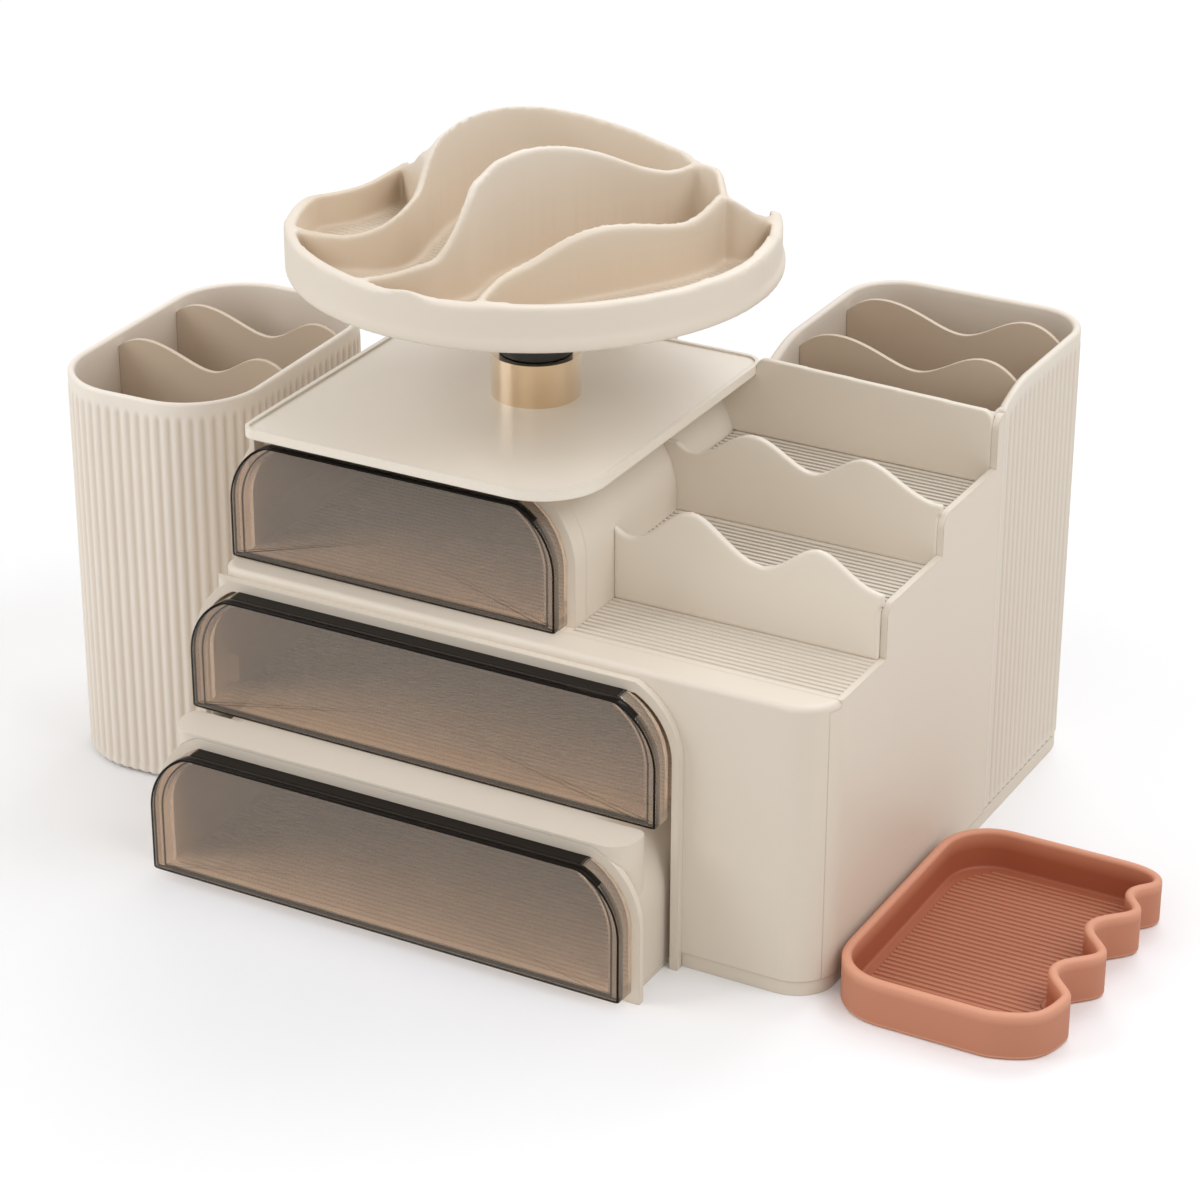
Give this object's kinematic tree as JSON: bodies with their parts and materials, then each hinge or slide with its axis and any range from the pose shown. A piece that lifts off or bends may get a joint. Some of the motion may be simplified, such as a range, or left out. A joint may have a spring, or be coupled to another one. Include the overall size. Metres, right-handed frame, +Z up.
{
  "type": "cosmetics organizer",
  "caption": "Cream cosmetics organizer with smoked arch-front drawers, stepped wavy bays, a fluted brush tower and cup, a rotating tray on a gold column and a loose terracotta tray.",
  "frame": {"origin": "middle of the base plate's underside, on the surface the organizer stands on", "axes": "+X to the object's right seen from the front, +Y to the back, +Z up; the drawers open along -Y"},
  "size_m": [0.4322, 0.2778, 0.2687],
  "materials": {
    "white_shell": "satin moulded cream",
    "white_tray": "satin moulded cream",
    "white_fluted": "satin moulded cream",
    "white_divider": "satin moulded cream",
    "smoked_clear": "polished clear smoked",
    "gold_ring": "polished gold plating",
    "black_plastic": "satin black",
    "terracotta": "matte terracotta",
    "steel": "zinc plated",
    "rubber": "soft matte",
    "slick_strip": "slick moulded"
  },
  "bodies": {
    "housing": {"base_plate": "white_shell", "front_shell": "white_shell", "side_panel": "white_shell", "left_panel": "white_shell", "rear_panel": "white_shell", "inner_wall": "white_shell", "deck": "white_shell", "middle_rim": "white_shell", "lower_tunnel": "white_shell", "lower_rim": "white_shell", "upper_tunnel": "white_shell", "upper_rim": "white_shell", "platform": "white_shell", "step_insert": "white_shell", "front_wave_wall": "white_shell", "middle_wave_wall": "white_shell", "step_back_wall": "white_shell", "rear_bin": "white_shell", "posts": "white_shell", "tower": "white_fluted", "tower_divider_front": "white_divider", "tower_divider_back": "white_divider", "column": "gold_ring", "bearing": "black_plastic", "base_screws": "steel", "column_screw": "steel", "rubber_feet": "rubber", "runners_top": "slick_strip", "runners_middle": "slick_strip", "runners_bottom": "slick_strip", "rails_top": "slick_strip", "rails_middle": "slick_strip", "stop_top": "slick_strip", "stop_middle": "slick_strip", "stop_bottom": "slick_strip"},
    "top_drawer": {"drawer_top": "smoked_clear"},
    "middle_drawer": {"drawer_middle": "smoked_clear"},
    "bottom_drawer": {"drawer_bottom": "smoked_clear"},
    "turntable": {"turntable_hub": "black_plastic", "turntable_tray": "white_tray"},
    "brush_cup": {"brush_cup": "white_fluted", "cup_divider_front": "white_divider", "cup_divider_back": "white_divider"},
    "loose_tray": {"loose_tray": "terracotta"}
  },
  "joints": [
    {"name": "top_drawer_slide", "type": "slide", "parent": "housing", "child": "top_drawer", "axis": [0, -1, 0], "range_m": [0, 0.0915]},
    {"name": "middle_drawer_slide", "type": "slide", "parent": "housing", "child": "middle_drawer", "axis": [0, -1, 0], "range_m": [0, 0.1005]},
    {"name": "bottom_drawer_slide", "type": "slide", "parent": "housing", "child": "bottom_drawer", "axis": [0, -1, 0], "range_m": [0, 0.1265]},
    {"name": "turntable_spin", "type": "hinge", "parent": "housing", "child": "turntable", "pos_m": [-0.03, -0.038, 0.2], "axis": [0, 0, 1], "continuous": true},
    {"name": "brush_cup_lift", "type": "slide", "parent": "housing", "child": "brush_cup", "axis": [0, 0, 1], "range_m": [0, 0.12]},
    {"name": "loose_tray_lift", "type": "slide", "parent": "housing", "child": "loose_tray", "axis": [0, 0, 1], "range_m": [0, 0.06]}
  ]
}
